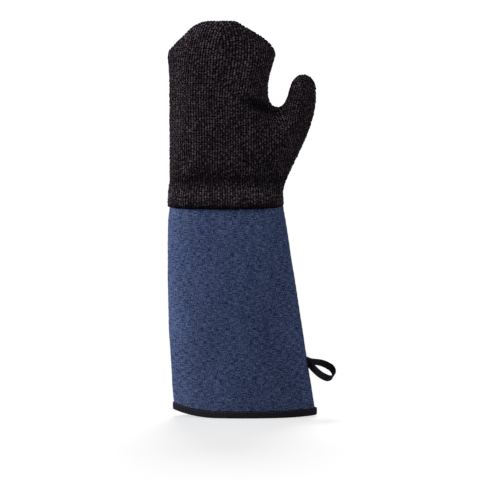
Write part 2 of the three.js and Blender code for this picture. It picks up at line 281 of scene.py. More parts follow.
def tape_material(name, dark, pale, rib):
    """Black woven tape with a rib at an angle to its edge."""
    m = Shader(name, 0.85, sheen=0.03, sheen_tint=(0.9, 0.9, 1))
    m.bsdf.inputs["Specular IOR Level"].default_value = 0.1
    weave = m.attribute("weave")
    thread = m.noise(weave, (900, 900, 1), 2)
    blotch = m.noise(weave, (80, 140, 1), 2)
    stripe = m.stripes(weave, rib)
    tone = m.total(0.5, (thread, 0.8), (blotch, 0.5), (stripe, 0.18))
    m.color(m.ramp(tone, (0.1, dark), (0.9, pale)))
    m.roughness(m.total(0.78, (thread, 0.2)))
    m.bump(m.total(0.5, (stripe, 0.5), (thread, 0.6)), 0.3 * MM, 0.8)
    return m.material


def cotton_material(name, dark, pale, cells):
    """Plain-weave lining or soft wadding, by the size of its cells."""
    m = Shader(name, 0.95, sheen=0.2)
    weave = m.attribute("weave")
    across = m.noise(weave, (cells, cells / 8, cells / 8), 2)
    along = m.noise(weave, (cells / 8, cells, cells), 2)
    tone = m.total(0.5, (across, 0.8), (along, 0.8))
    m.color(m.ramp(tone, (0.1, dark), (0.9, pale)))
    m.roughness(m.total(0.92, (across, 0.12)))
    m.bump(tone, 0.4 * MM, 0.6)
    return m.material


def thread_material():
    m = Shader("thread", 0.55, sheen=0.2)
    weave = m.attribute("weave")
    ply = m.stripes(weave, (0, 1400, 700))
    fleck = m.noise(weave, (800, 800, 800), 1)
    tone = m.total(0.5, (ply, 0.25), (fleck, 0.6))
    m.color(m.ramp(tone, (0.1, (0.006, 0.006, 0.008)), (0.9, (0.022, 0.022, 0.028))))
    m.roughness(m.total(0.55, (fleck, 0.2)))
    m.bump(m.total(0.5, (ply, 0.5)), 0.15 * MM, 0.7)
    return m.material


def floor_material():
    m = Shader("floor", 0.6)
    geometry = m.nodes.new("ShaderNodeNewGeometry")
    grain = m.noise(geometry.outputs["Position"], (3, 3, 3), 2)
    m.color(m.ramp(grain, (0.0, (0.86, 0.86, 0.86)), (1.0, (0.9, 0.9, 0.9))))
    m.bsdf.inputs["Specular IOR Level"].default_value = 0
    m.bsdf.inputs["Emission Color"].default_value = (1, 1, 1, 1)
    m.bsdf.inputs["Emission Strength"].default_value = 0.67
    return m.material


WORLD_LIGHT = 0.2


def studio_world():
    """White to the camera, and a weak light from all sides to the mitt."""
    world = bpy.data.worlds.new("studio")
    world.use_nodes = True
    nodes, links = world.node_tree.nodes, world.node_tree.links
    soft = nodes["Background"]
    soft.inputs["Color"].default_value = (1, 1, 1, 1)
    soft.inputs["Strength"].default_value = WORLD_LIGHT
    seen = nodes.new("ShaderNodeBackground")
    seen.inputs["Color"].default_value = (1, 1, 1, 1)
    seen.inputs["Strength"].default_value = 1.1
    path = nodes.new("ShaderNodeLightPath")
    mix = nodes.new("ShaderNodeMixShader")
    links.new(path.outputs["Is Camera Ray"], mix.inputs["Fac"])
    links.new(soft.outputs["Background"], mix.inputs[1])
    links.new(seen.outputs["Background"], mix.inputs[2])
    links.new(mix.outputs["Shader"], nodes["World Output"].inputs["Surface"])
    bpy.context.scene.world = world


TERRY = terry_material()
DENIM = denim_material()
BIAS = tape_material("bias_tape", (0.0035, 0.0033, 0.0055), (0.0145, 0.0135, 0.023), (500, 500, 0))
TAPE = tape_material("loop_tape", (0.004, 0.0038, 0.0055), (0.024, 0.022, 0.031), (0, 900, 0))
THREAD = thread_material()
LINING = cotton_material("cotton_lining", (0.2, 0.19, 0.18), (0.36, 0.35, 0.33), 1100)
WADDING = cotton_material("wadding", (0.6, 0.57, 0.48), (0.82, 0.79, 0.7), 350)


# ---- The hand ----
PLUG_SHRINK = 0.97


def hull_plug(nodes, below):
    """The points of these nodes under a height, drawn in a little: they close the wrist of a blank."""
    co = np.concatenate([coordinates(frame["nodes"][n].data) for n in nodes])
    co = co[co[:, 2] < below]
    middle = (co.min(0) + co.max(0)) / 2
    co[:, :2] = middle[:2] + (co[:, :2] - middle[:2]) * PLUG_SHRINK
    return co


def largest_part(mesh):
    """The vertices of the connected part that spans the most, which is the outer skin."""
    count = len(mesh.vertices)
    edges = np.empty(len(mesh.edges) * 2, int)
    mesh.edges.foreach_get("vertices", edges)
    a, b = edges.reshape(-1, 2).T
    label = np.arange(count)
    while True:
        low = np.minimum(label[a], label[b])
        new = label.copy()
        np.minimum.at(new, a, low)
        np.minimum.at(new, b, low)
        new = new[new]
        if np.array_equal(new, label):
            break
        label = new
    co = coordinates(mesh)
    spans = {k: np.ptp(co[label == k], axis=0).sum() for k in np.unique(label)}
    return label == max(spans, key=spans.get)


def blank(name, nodes, plug, voxel):
    """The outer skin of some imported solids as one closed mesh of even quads."""
    bm = bmesh.new()
    for node in nodes:
        bm.from_mesh(frame["nodes"][node].data)
    hull = [bm.verts.new(p) for p in plug]
    bmesh.ops.convex_hull(bm, input=hull)
    mesh = bpy.data.meshes.new(name)
    bm.to_mesh(mesh)
    bm.free()
    obj = bpy.data.objects.new(name, mesh)
    bpy.context.scene.collection.objects.link(obj)
    remesh = obj.modifiers.new("voxels", "REMESH")
    remesh.mode = "VOXEL"
    remesh.voxel_size = voxel
    apply_modifiers(obj)
    keep = largest_part(obj.data)
    index = np.cumsum(keep) - 1
    faces = [[index[v] for v in f] for f in polygons(obj.data) if keep[f[0]]]
    skin = build(name, coordinates(obj.data)[keep], faces, None)
    bpy.data.objects.remove(obj)
    return skin


def relax(obj, times, share=0.5):
    """Draws each vertex towards the mean of its neighbours."""
    mesh = obj.data
    edges = np.empty(len(mesh.edges) * 2, int)
    mesh.edges.foreach_get("vertices", edges)
    a, b = edges.reshape(-1, 2).T
    co = coordinates(mesh)
    count = np.bincount(a, minlength=len(co)) + np.bincount(b, minlength=len(co))
    for _ in range(times):
        total = np.zeros_like(co)
        np.add.at(total, a, co[b])
        np.add.at(total, b, co[a])
        co += (total / count[:, None] - co) * share
    mesh.vertices.foreach_set("co", co.ravel())
    mesh.update()


def inflate(obj, pressure, frames, most, hold):
    """Fills a closed cloth with air. hold says how firmly a vertex stays, and none moves more than most."""
    before = coordinates(obj.data)
    group = obj.vertex_groups.new(name="hold")
    for i, weight in enumerate(hold(before)):
        if weight > 0:
            group.add([i], float(weight), "REPLACE")
    cloth = obj.modifiers.new("cloth", "CLOTH")
    settings = cloth.settings
    settings.quality = 5
    settings.mass = 0.25
    settings.tension_stiffness = 25
    settings.compression_stiffness = 12
    settings.shear_stiffness = 8
    settings.bending_stiffness = 0.8
    settings.use_pressure = True
    settings.uniform_pressure_force = pressure
    settings.vertex_group_mass = "hold"
    settings.effector_weights.gravity = 0
    cloth.collision_settings.use_self_collision = False
    cloth.point_cache.frame_start = 1
    cloth.point_cache.frame_end = frames
    for i in range(1, frames + 1):
        bpy.context.scene.frame_set(i)
    apply_modifiers(obj)
    moved = coordinates(obj.data) - before
    far = np.linalg.norm(moved, axis=1, keepdims=True)
    moved *= np.minimum(1, most / np.maximum(far, 1e-9))
    obj.data.vertices.foreach_set("co", (before + moved).ravel())
    obj.data.update()
    bpy.context.scene.frame_set(1)


def subdivide(obj, levels):
    modifier = obj.modifiers.new("fine", "SUBSURF")
    modifier.levels = levels
    modifier.render_levels = levels
    apply_modifiers(obj)


def beyond_root(co):
    """How far points lie on the thumb's side of its root line, and above the crotch of a plumb line there."""
    rel = co - CROTCH
    slanted = rel @ THUMBWARD
    return np.where(rel[:, 2] > 0, rel[:, 0], slanted)


def region_of(co):
    """0 for the palm, 1 for the fingers, 2 for the thumb."""
    return np.where(beyond_root(co) > 0, 2, np.where(co[:, 2] > FINGERS_FROM_Z, 1, 0))


# The hand's edge in the mitt's plane, in millimetres: lines and curves from the wrist's left side, round the
# fingertips, the crotch and the thumb, to the wrist's right side.
EDGE = [
    [(-125, 300), (-126.5, 322), (-126.5, 338)],
    [(-126.5, 338), (-126, 347), (-123.6, 356)],
    [(-123.6, 356), (-122.6, 366), (-124, 400), (-124, 512)],
    [(-124, 512), (-124.3, 538), (-127.5, 547)],
    [(-127.5, 547), (-128.6, 550.5), (-125.5, 553.5)],
    [(-125.5, 553.5), (-97, 583.5)],
    [(-97, 583.5), (-80.5, 600), (-58, 600)],
    [(-58, 600), (-32, 600)],
    [(-32, 600), (-20, 600), (-10, 591.5)],
    [(-10, 591.5), (19, 574)],
    [(19, 574), (31, 566.5), (36, 554)],
    [(36, 554), (38.6, 548.5), (36, 541)],
    [(36, 541), (32, 530), (27, 515), (26.5, 493)],
    [(26.5, 493), (26.5, 471), (40.5, 471)],
    [(40.5, 471), (51.5, 471.5), (56, 489)],
    [(56, 489), (58.5, 503), (64.5, 512.5)],
    [(64.5, 512.5), (69.5, 520), (79, 520)],
    [(79, 520), (93.5, 518.5), (98.5, 501)],
    [(98.5, 501), (101, 478), (95, 450), (83, 420.5)],
    [(83, 420.5), (62, 377)],
    [(62, 377), (51, 357), (48.7, 347), (49.6, 336)],
    [(49.6, 336), (50.6, 325), (48.5, 300)],
]


def bezier(points, t):
    points = [np.array(p, float)[None, :] for p in points]
    while len(points) > 1:
        points = [a * (1 - t) + b * t for a, b in zip(points, points[1:])]
    return points[0]


def even_line(points, step):
    """The same line with its points an even step apart."""
    length = np.concatenate([[0], np.cumsum(np.linalg.norm(np.diff(points, axis=0), axis=1))])
    at = np.arange(0, length[-1], step)
    return np.stack([np.interp(at, length, points[:, k]) for k in range(points.shape[1])], 1)


def hand_edge(step):
    """Points along the hand's edge and the way out at each, as (x, z)."""
    t = np.linspace(0, 1, 40)[:, None]
    line = np.concatenate([bezier(piece, t) for piece in EDGE]) * MM
    line = even_line(line, step)
    ahead = np.gradient(line, axis=0)
    ahead /= np.linalg.norm(ahead, axis=1, keepdims=True)
    return line, np.stack([-ahead[:, 1], ahead[:, 0]], 1)


def blurred(values, times):
    for _ in range(times):
        padded = np.concatenate([values[:1], values, values[-1:]])
        values = (padded[:-2] + 2 * padded[1:-1] + padded[2:]) / 4
    return values


def meet_edge(co, inset):
    """Moves the skin's outermost points, and what is near them, out to the hand's edge, less an inset."""
    step = 1.0 * MM
    line, out = hand_edge(step)
    tree = KDTree(len(line))
    for i, (x, z) in enumerate(line):
        tree.insert((x, z, 0), i)
    tree.balance()
    near = np.where((np.abs(co[:, 1]) < 16 * MM) & (co[:, 2] > TERRY_EDGE_Z))[0]
    found = np.array([tree.find((co[i, 0], co[i, 2], 0))[1] for i in near])
    inside = -((co[near][:, [0, 2]] - line[found]) * out[found]).sum(1)
    deep = np.full(len(line), np.nan)
    at_seam = np.abs(co[near, 1]) < 1.2 * MM
    order = np.argsort(-inside[at_seam])
    deep[found[at_seam][order]] = inside[at_seam][order]
    known = ~np.isnan(deep)
    deep = np.interp(np.arange(len(line)), np.where(known)[0], deep[known])
    deep = blurred(deep, 4)[found]
    fall = np.exp(-(((inside - deep) / (9 * MM)) ** 2)) * smoothstep(1 - np.abs(co[near, 1]) / (16 * MM))
    fall *= smoothstep((co[near, 2] - TERRY_EDGE_Z) / (8 * MM))
    co[near[:, None], [0, 2]] += out[found] * ((deep - inset) * fall)[:, None]


def hand_nodes(*layers):
    return [f"{r}_{layer}_{s}" for r in REGIONS for layer in layers for s in SIDES]


def seam_y(co):
    """Where the seam between front and back lies in depth: it rolls to the front at the fingertips' right."""
    roll = smoothstep((co[:, 0] + 25 * MM) / (40 * MM)) * smoothstep((co[:, 2] - 535 * MM) / (30 * MM))
    roll = np.where(beyond_root(co) > 40 * MM, 0, roll)
    return -7 * MM * roll


WALE = 3.9 * MM  # between neighbouring rows of loops
LOOP_PITCH = 3.5 * MM  # between loops along a row
PILE = 2.7 * MM  # how far the loops stand out


def terry_loops(u, v, seed):
    """How high the pile stands, from 0 to 1, and where in its loop each point is: loops in rows, each leaning
    its own way, with a dimple in the eye of the loop."""
    u, v = u / WALE, v / LOOP_PITCH
    high = np.zeros_like(u)
    local = np.zeros((len(u), 2))
    column = np.floor(u)
    for di in (-1, 0, 1):
        i = column + di
        shifted = v + 0.6 * hashed(i, 0 * i, seed + 4)
        row = np.floor(shifted)
        for dj in (-1, 0, 1):
            j = row + dj
            du = u - (i + 0.5 + 0.16 * (hashed(i, j, seed) - 0.5))
            dv = shifted - (j + 0.5 + 0.5 * (hashed(i, j, seed + 1) - 0.5))
            lean = 1.9 * (hashed(i, j, seed + 2) - 0.5)
            a = du * np.cos(lean) + dv * np.sin(lean)
            b = dv * np.cos(lean) - du * np.sin(lean)
            reach = (a / 0.4) ** 2 + (b / 0.64) ** 2
            tall = 0.62 + 0.38 * hashed(i, j, seed + 3)
            h = tall * np.sqrt(np.maximum(0, 1 - reach)) * (1 - 0.3 * np.exp(-reach * 7))
            first = h > high
            high = np.where(first, h, high)
            local[first] = np.stack([a * WALE, b * LOOP_PITCH], 1)[first]
    return high, local


# Puffs and dents of the stuffed palm side, in millimetres: x, z, radius, and height out.
PUFFS = [
    (-44, 504, 27, -2.6), (-103, 372, 20, 1.6), (4, 525, 15, 1.6), (20, 372, 22, -1.8), (-72, 455, 24, 1.2),
    (62, 430, 15, 1.4), (-100, 520, 20, 1.2), (-62, 362, 26, -1.4), (-10, 420, 24, 1.0), (74, 470, 11, -0.8),
    (-50, 575, 18, 1.2), (12, 556, 14, 1.0), (-84, 410, 18, -1.2), (30, 440, 12, 1.2),
]
CREASE_AT, CREASE_WAY = np.array([15, 469]) * MM, np.array([0.88, -0.47])


def hand_relief(co, facing):
    """How far the stuffed cloth stands out: its puffs, the roll at the wrist and the pinch by the crotch."""
    x, z = co[:, 0] / MM, co[:, 2] / MM
    out = np.zeros(len(co))
    for px, pz, radius, height in PUFFS:
        out += height * np.exp(-(((x - px) ** 2 + (z - pz) ** 2) / radius ** 2))
    rel = co[:, [0, 2]] - CREASE_AT
    along = (rel @ CREASE_WAY) / MM
    across = (rel @ np.array([-CREASE_WAY[1], CREASE_WAY[0]])) / MM - 1.5 * np.sin(along / 8)
    length = np.exp(-((along - 4) / np.where(along > 4, 14, 24)) ** 2)
    out += length * (3.2 * np.exp(-(((np.abs(across) - 13) / 7) ** 2)) - 10.0 * np.exp(-((across / 6) ** 2)))
    low = (z - WRIST_Z / MM) / 10
    gather = 0.5 + 0.5 * np.sin(x / 7.5 + 3 * value_noise(x / 30, x * 0, 8))
    out += 2.2 * np.exp(-((low + 0.5) ** 2)) - (1.8 + 1.0 * gather) * np.exp(-(((low - 1.9) / 0.9) ** 2))
    return out * facing ** 2 * MM


def crease_and_roll_shading(co):
    """Painted light and shade on the terry's colour: darker in the pinch by the crotch, beside the wrist roll
    and under it, a little lighter on the roll.
    """
    rel = co[:, [0, 2]] - CREASE_AT
    along = (rel @ CREASE_WAY) / MM
    across = (rel @ np.array([-CREASE_WAY[1], CREASE_WAY[0]])) / MM
    pinch = np.exp(-((along - 2) / np.where(along > 2, 12, 22)) ** 2 - (across / 7) ** 2)
    z = co[:, 2] / MM
    wave = 3 * value_noise(co[:, 0] / MM / 24, z * 0, 9)
    roll = np.exp(-(((z - 338) / 8) ** 2))
    beside = np.exp(-(((z - 359 - wave) / 9) ** 2))
    under = 1 - smoothstep((z - 316) / 11)
    return 0.12 * roll - 0.65 * pinch - 0.2 * beside - 0.6 * under


def terry_skin():
    """The terry of the hand, whole: filled with air, then its loops raised."""
    nodes = hand_nodes("terry", "batting") + ["terry_edge_front", "terry_edge_back"]
    plug = hull_plug(["terry_edge_front", "terry_edge_back"], TERRY_EDGE_Z + 9 * MM)
    obj = blank("terry", nodes, plug, 5 * MM)
    relax(obj, 3)
    inflate(obj, 4, 20, 5 * MM, lambda co: 1 - smoothstep((co[:, 2] - WRIST_Z) / (40 * MM)))
    relax(obj, 2)
    subdivide(obj, 3)
    mesh = obj.data
    co = coordinates(mesh)
    meet_edge(co, 0.7 * MM)
    mesh.vertices.foreach_set("co", co.ravel())
    mesh.update()
    normal = normals(mesh)
    co += normal * hand_relief(co, normal[:, 1])[:, None]
    mesh.vertices.foreach_set("co", co.ravel())
    mesh.update()
    normal = normals(mesh)
    back = co[:, 1] > seam_y(co)
    groove = np.exp(-(((co[:, 1] - seam_y(co)) / (1.6 * MM)) ** 2))
    beyond = beyond_root(co)
    middle = np.where(beyond > 0, CROTCH[0] + 32 * MM + (co[:, 2] - CROTCH[2]) * 0.2, -45 * MM)
    turned = np.maximum(27 * MM - np.abs(co[:, 1]), 0) * 0.6
    u = co[:, 0] + np.sign(co[:, 0] - middle) * turned
    u += 2.5 * MM * (value_noise(co[:, 0] * 18, co[:, 2] * 14, 3) - 0.5)
    u -= 0.2 * smoothstep(beyond / (30 * MM)) * (co[:, 2] - CROTCH[2])
    rightward = smoothstep((co[:, 0] + 110 * MM) / (180 * MM))
    u -= 0.26 * rightward * np.maximum(co[:, 2] - 480 * MM, 0) * (beyond < 0)
    v = co[:, 2] + 2 * MM * value_noise(co[:, 0] * 60, co[:, 2] * 30, 5)
    pile, local = terry_loops(u + back * 7.3, v, 11)
    lump = value_noise(u * 45 + back * 9, v * 38, 21)
    lump = lump + 0.5 * value_noise(u * 90, v * 80 + back * 5, 22) - 0.75
    raised = PILE * (pile - 0.45) * (1 - 0.6 * groove) + 0.9 * MM * lump - 1.6 * MM * groove
    co += normal * raised[:, None]
    mesh.vertices.foreach_set("co", co.ravel())
    mesh.update()
    # Painted shade and highlight: the colour is darkened in the crotch pinch and beside and under the wrist
    # roll, and lightened on the roll.
    pile = pile * np.clip(1 + crease_and_roll_shading(co), 0.25, 1.3)
    return obj, pile, np.stack([u, v, back * 1.0], 1), np.column_stack([local, 0 * u])


def add_terry():
    obj, pile, weave, local = terry_skin()
    mesh = obj.data
    co = coordinates(mesh)
    faces = np.array(polygons(mesh))
    centre = co[faces].mean(1)
    region = region_of(centre)
    back = centre[:, 1] > seam_y(centre)
    normal = np.cross(co[faces[:, 2]] - co[faces[:, 0]], co[faces[:, 3]] - co[faces[:, 1]])
    normal /= np.linalg.norm(normal, axis=1, keepdims=True)
    floor = (centre[:, 2] < TERRY_EDGE_Z + 5 * MM) & (normal[:, 2] < -0.8)
    for r, name in enumerate(REGIONS):
        for s, side in enumerate(SIDES):
            chosen = faces[(region == r) & (back == bool(s)) & ~floor]
            used, flat = np.unique(chosen, return_inverse=True)
            part = build(f"{name}_terry_{side}_cloth", co[used], flat.reshape(chosen.shape), TERRY)
            # The pile attribute carries the loops' height together with the painted shade that the terry's
            # colour follows.
            set_attribute(part.data, "pile", pile[used])
            set_attribute(part.data, "weave", weave[used])
            set_attribute(part.data, "loop", local[used])
            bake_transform(part)
            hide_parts(f"{name}_terry_{side}", *([f"terry_edge_{side}"] if name == "palm" else []))
    bpy.data.objects.remove(obj)


def add_inner_layer(layer, material, voxel, thickness, declare):
    """The batting or the lining of the hand, one piece to a region and side."""
    nodes = hand_nodes(layer)
    palm = [f"palm_{layer}_{s}" for s in SIDES]
    obj = blank(layer, nodes, hull_plug(palm, WRIST_Z + 50 * MM), voxel)
    relax(obj, 4)
    subdivide(obj, 1)
    mesh = obj.data
    co, normal = coordinates(mesh), normals(mesh)
    ripple = value_noise(co[:, 0] * 55, co[:, 2] * 40, 31)
    ripple = ripple + 0.5 * value_noise(co[:, 0] * 130, co[:, 2] * 110, 32) - 0.75
    dents = np.minimum(hand_relief(co, normal[:, 1]) * 1.2, 0)
    co += normal * (ripple * 1.0 * MM - 0.8 * MM + dents)[:, None]
    faces = np.array(polygons(mesh))
    centre = co[faces].mean(1)
    region = region_of(centre)
    open_end = centre[:, 2] < WRIST_Z + 3 * MM
    for r, name in enumerate(REGIONS):
        for s, side in enumerate(SIDES):
            chosen = faces[(region == r) & ((centre[:, 1] > 0) == bool(s)) & ~open_end]
            used, flat = np.unique(chosen, return_inverse=True)
            part = build(f"{name}_{layer}_{side}_cloth", co[used], flat.reshape(chosen.shape), material)
            solidify = part.modifiers.new("thick", "SOLIDIFY")
            solidify.thickness = thickness
            solidify.offset = -1
            apply_modifiers(part)
            set_attribute(part.data, "weave", coordinates(part.data))
            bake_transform(part)
            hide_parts(f"{name}_{layer}_{side}")
            declare(part)
    bpy.data.objects.remove(obj)


def declare_cut(part, held="stretched"):
    """Measures the finished panel's own width and height; nothing more is done with them."""
    size = [np.ptp(coordinates(part.data)[:, axis]) for axis in (0, 2)]


# ---- The cuff ----
def side_line(node, pick):
    """The x of a side edge at heights along it, from the thread that runs down it."""
    co = coordinates(frame["nodes"][node].data)
    heights = np.round(co[:, 2], 4)
    levels = np.unique(heights)
    return levels, np.array([pick(co[heights == z, 0]) for z in levels])


LEFT_LINE = side_line("side_seam_left", np.min)
RIGHT_LINE = side_line("side_seam_right", np.max)
SEAM_SWELL = 1.2 * MM  # how far the cloth swells past its seams
LEFT_IN = 1.6 * MM * smoothstep((LEFT_LINE[0] - 200 * MM) / (110 * MM))  # it draws in under the terry
LEFT_LINE = LEFT_LINE[0], LEFT_LINE[1] - SEAM_SWELL + LEFT_IN
RIGHT_LINE = RIGHT_LINE[0], RIGHT_LINE[1] + SEAM_SWELL
HEM_HALF_DEPTH = 33 * MM
FLARE, FLARE_DROP = 7 * MM, 55 * MM  # the cloth flares out from under the terry over the drop
WRIST_HALF_DEPTH = 28 * MM
HEM_ROUNDING = 60 * MM
WRIST_ROUNDING = 18 * MM
TUCK_FROM_Z = TERRY_EDGE_Z - 4 * MM
BINDING_TOP = 12 * MM
DENIM_THICK = 1.1 * MM
HEM_BLEND = 60 * MM


def line_at(line, z):
    """A side line's x at heights, with its corners softened."""
    spread = np.linspace(-14 * MM, 14 * MM, 9)
    inside = np.clip(np.add.outer(z, spread), line[0][0], line[0][-1])
    return np.interp(inside, *line).mean(-1)


def hem_rise(x):
    """How far the hem lies above the floor: level in the middle, rising to the corners."""
    low, high = LEFT_LINE[1][0], RIGHT_LINE[1][0]
    left = np.maximum(-52 * MM - x, 0) / (-52 * MM - low)
    right = np.maximum(x - 34 * MM, 0) / (high - 34 * MM)
    return 10 * MM * left ** 2 + 1.5 * MM * right ** 2


def half_section(z, columns, inset=0.0):
    """x and half depth along the front of the cuff at a height, at even steps of cloth from left to right."""
    left, right = line_at(LEFT_LINE, np.array([z]))[0], line_at(RIGHT_LINE, np.array([z]))[0]
    right += 1.4 * MM * math.sin(math.pi * min(z / TERRY_EDGE_Z, 1))
    share = np.clip(z / TERRY_EDGE_Z, 0, 1)
    depth = HEM_HALF_DEPTH + (WRIST_HALF_DEPTH - HEM_HALF_DEPTH) * share
    gathered = math.exp((min(z, TERRY_EDGE_Z) - TERRY_EDGE_Z) / FLARE_DROP)
    depth += FLARE * (math.sin(math.pi * share) * 0.6 - gathered * 0.6)
    rounding = HEM_ROUNDING + (WRIST_ROUNDING - HEM_ROUNDING) * share
    power = 0.8 - 0.3 * share
    tuck = 3 * MM * smoothstep((z - TUCK_FROM_Z) / (12 * MM))
    dense = (left + right) / 2 - (right - left) / 2 * np.cos(np.linspace(0, math.pi, 400))
    fill = (1 - np.exp(-(dense - left) / rounding)) * (1 - np.exp(-(right - dense) / rounding))
    y = (depth - tuck) * np.maximum(fill, 0) ** power
    if inset:
        step = np.gradient(dense), np.gradient(y)
        size = np.maximum(np.hypot(*step), 1e-9)
        dense = dense + inset * step[1] / size
        y = np.maximum(y - inset * step[0] / size, 0.05 * MM)
    length = np.concatenate([[0], np.cumsum(np.hypot(np.diff(dense), np.diff(y)))])
    even = np.linspace(0, length[-1], columns)
    return np.interp(even, length, dense), np.interp(even, length, y), even - length[-1] / 2


def cuff_surface(side, heights, columns, inset=0.0):
    """A grid of points over the front or the back of the cuff, with the weave's own coordinates."""
    sign = -1 if side == "front" else 1
    rows, weave = [], []
    for z in heights:
        x, y, s = half_section(z, columns, inset)
        lift = hem_rise(x) * max(1 - z / HEM_BLEND, 0)
        rows.append(np.stack([x, sign * np.maximum(y, 0.4 * MM), z + lift], 1))
        weave.append(np.stack([s, np.full(columns, z), np.full(columns, 0.31 * (sign > 0))], 1))
    return np.array(rows), np.array(weave)


def grid_normals(grid, outward_y):
    du = np.gradient(grid, axis=1)
    dv = np.gradient(grid, axis=0)
    n = np.cross(du, dv)
    n /= np.maximum(np.linalg.norm(n, axis=-1, keepdims=True), 1e-12)
    return n * np.sign((n[..., 1].mean()) * outward_y)


def grid_faces(rows, columns, flip):
    i, j = np.meshgrid(np.arange(rows - 1), np.arange(columns - 1), indexing="ij")
    a = (i * columns + j).ravel()
    quads = np.stack([a, a + 1, a + columns + 1, a + columns], 1)
    return quads[:, ::-1] if flip else quads


def closed_cloth(name, outer, inner, weave, material, side):
    """A thin closed solid between two grids of the same shape, which are its two faces."""
    rows, columns = outer.shape[:2]
    count = rows * columns
    front = side == "front"
    faces = [grid_faces(rows, columns, not front), grid_faces(rows, columns, front) + count]
    around = np.concatenate([
        np.arange(columns), np.arange(1, rows) * columns + columns - 1,
        (rows - 1) * columns + np.arange(columns - 2, -1, -1), np.arange(rows - 2, 0, -1) * columns])
    after = np.roll(around, -1)
    rim = np.stack([after, around, around + count, after + count], 1)
    faces.append(rim if front else rim[:, ::-1])
    verts = np.concatenate([outer.reshape(-1, 3), inner.reshape(-1, 3)])
    obj = build(name, verts, np.concatenate(faces), material)
    set_attribute(obj.data, "weave", np.concatenate([weave.reshape(-1, 3)] * 2))
    return obj


def denim_relief(weave, s_edge):
    """How the denim swells and dips: slow waves, puckers at the side seams and the hem's turned edge."""
    s, z = weave[..., 0], weave[..., 1]
    shift = weave[..., 2] * 40
    slow = value_noise(s * 11 + shift, z * 7, 41) + 0.5 * value_noise(s * 23 + shift, z * 15, 42) - 0.75
    fine = value_noise(s * 60 + shift, z * 35, 43) - 0.5
    edge = s_edge - np.abs(s)
    pucker = np.exp(-edge / (9 * MM)) * np.sin(
        z * 2 * math.pi / (11 * MM) + 3 * value_noise(z * 40, s * 0, 44))
    gather = np.exp(-(TERRY_EDGE_Z - z) / (26 * MM)) * np.sin(
        s * 2 * math.pi / (13 * MM) + 5 * value_noise(s * 30 + shift, s * 0, 45))
    gather = np.where(z < TERRY_EDGE_Z + 8 * MM, gather, 0)
    ridge_z = 26.5 * MM
    ridge = np.exp(-(((z - ridge_z) / (1.3 * MM)) ** 2)) + 0.5 * (1 - smoothstep((z - ridge_z) / (3 * MM)))
    return (2.6 * slow + 0.35 * fine + 0.45 * pucker + 0.35 * gather + 0.45 * ridge) * MM


def add_denim():
    heights = np.concatenate([np.arange(1.6 * MM, DENIM_TOP_Z, 1.8 * MM), [DENIM_TOP_Z]])
    columns = 150
    for side, outward in (("front", -1), ("back", 1)):
        grid, weave = cuff_surface(side, heights, columns)
        normal = grid_normals(grid, outward)
        s_edge = weave[:, -1:, 0]
        settle = smoothstep((weave[..., 1] - 3 * MM) / (20 * MM))
        at_edge = smoothstep((s_edge - np.abs(weave[..., 0])) / (7 * MM))
        relief = denim_relief(weave, s_edge) * np.maximum(settle, 0.15) * (0.25 + 0.75 * at_edge)
        outer = grid + normal * relief[..., None]
        inner = outer - normal * DENIM_THICK
        obj = closed_cloth(f"denim_{side}", outer, inner, weave, DENIM, side)
        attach(obj, "cuff")
        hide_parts(f"denim_{side}_panel")
        declare_cut(obj, "draped")


def add_cuff_lining():
    top = DENIM_TOP_Z + 5 * MM
    heights = np.concatenate([np.arange(2 * MM, top, 4 * MM), [top]])
    for side, outward in (("front", -1), ("back", 1)):
        grid, weave = cuff_surface(side, heights, 90, 3.2 * MM)
        normal = grid_normals(grid, outward)
        wave = value_noise(weave[..., 0] * 40, weave[..., 1] * 18, 51) - 0.5
        above_hem = smoothstep((weave[..., 1] - 10 * MM) / (20 * MM))
        outer = grid + normal * (1.2 * MM * wave * above_hem)[..., None]
        obj = closed_cloth(f"cuff_lining_{side}_cloth", outer, outer - normal * 0.7 * MM, weave, LINING, side)
        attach(obj, "cuff")
        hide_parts(f"cuff_lining_{side}")
        declare_cut(obj)


def hem_ring(z, steps):
    """Points round the whole cuff at a height, with the way out and the length of cloth so far."""
    x, y, s = half_section(z, steps)
    front = np.stack([x, -np.maximum(y, 0.3 * MM)], 1)
    back = front[::-1] * (1, -1)
    loop = np.concatenate([front, back])
    ahead, behind = np.roll(loop, -1, 0), np.roll(loop, 1, 0)
    tangent = ahead - behind
    tangent /= np.linalg.norm(tangent, axis=1, keepdims=True)
    out = np.stack([tangent[:, 1], -tangent[:, 0]], 1)
    for _ in range(3):
        out = (np.roll(out, 1, 0) + out + np.roll(out, -1, 0)) / 3
    out /= np.linalg.norm(out, axis=1, keepdims=True)
    length = np.concatenate([[0], np.cumsum(np.linalg.norm(np.diff(loop, axis=0), axis=1))])
    return loop, out, length


